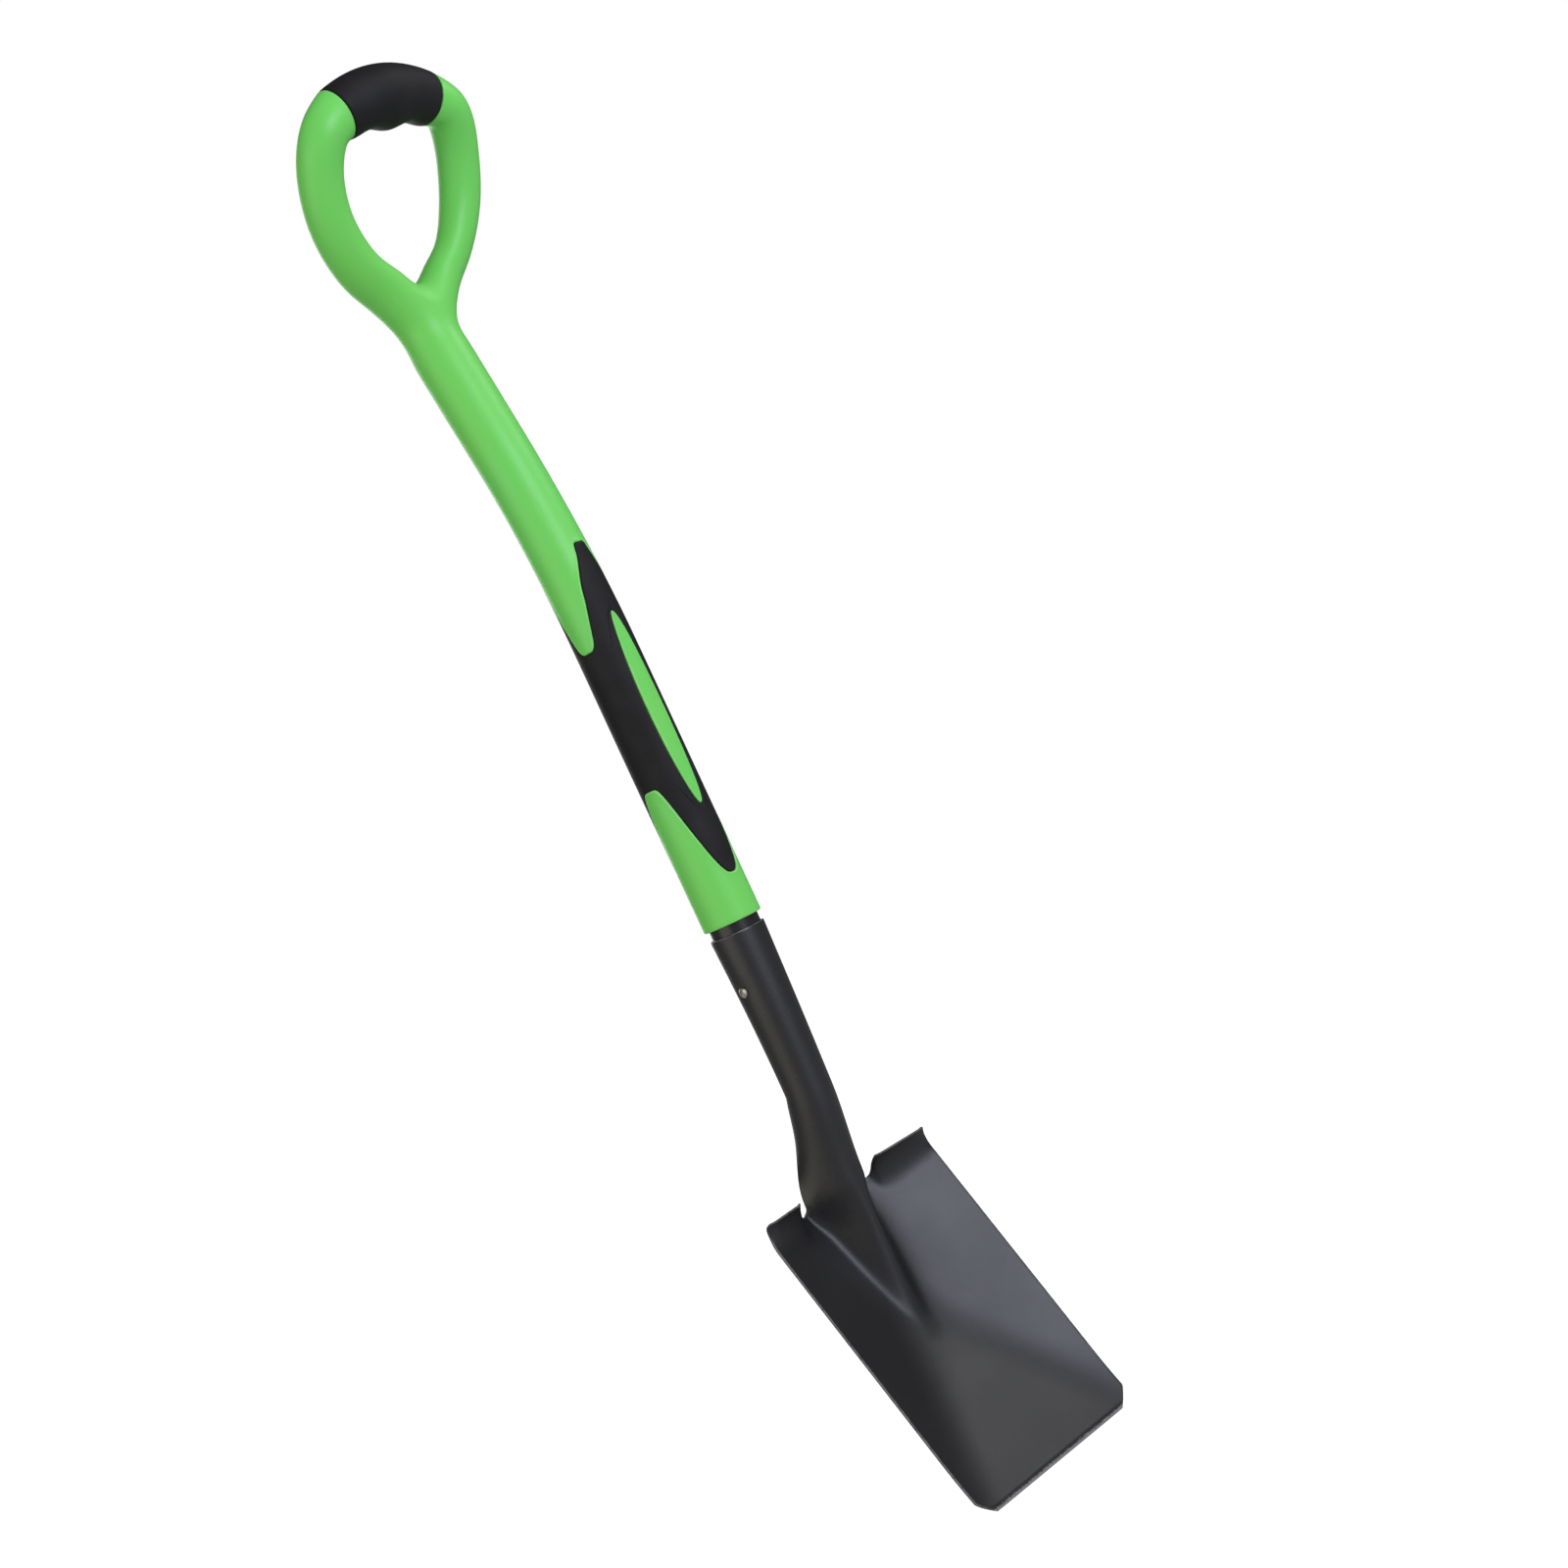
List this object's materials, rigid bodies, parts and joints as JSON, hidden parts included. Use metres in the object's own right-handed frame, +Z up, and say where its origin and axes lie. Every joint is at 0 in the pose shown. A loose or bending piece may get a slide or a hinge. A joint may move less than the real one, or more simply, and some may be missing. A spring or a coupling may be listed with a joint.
{
  "type": "garden spade",
  "caption": "Narrow digging spade: D-handle with soft crossbar grip, cranked sleeve over a steel tube, and a dished steel blade with rolled socket and foot treads.",
  "frame": {"origin": "the point under the middle of the crossbar grip, by which the tool hangs", "axes": "+Z up along the lower shaft, with the blade's cutting edge at the bottom; +X from side to side across the blade; -Y is the front, which the blade's hollow faces"},
  "size_m": [0.1498, 0.1102, 0.9295],
  "materials": {
    "blade_coating": "dark grey powder coat, fine texture, satin",
    "tube_coating": "black, satin",
    "green_plastic": "smooth moulded, semi-gloss",
    "soft_black": "soft overmoulding, fine matte texture",
    "rivet_steel": "plain steel, domed by the rivet set",
    "plug_plastic": "as moulded"
  },
  "bodies": {
    "root": {"blade": "blade_coating", "shaft_tube": "tube_coating", "handle_moulding": "green_plastic", "crossbar_grip": "soft_black", "shaft_grip": "soft_black", "socket_rivet": "rivet_steel", "lower_tube_plug": "plug_plastic", "upper_tube_plug": "plug_plastic"}
  },
  "joints": []
}
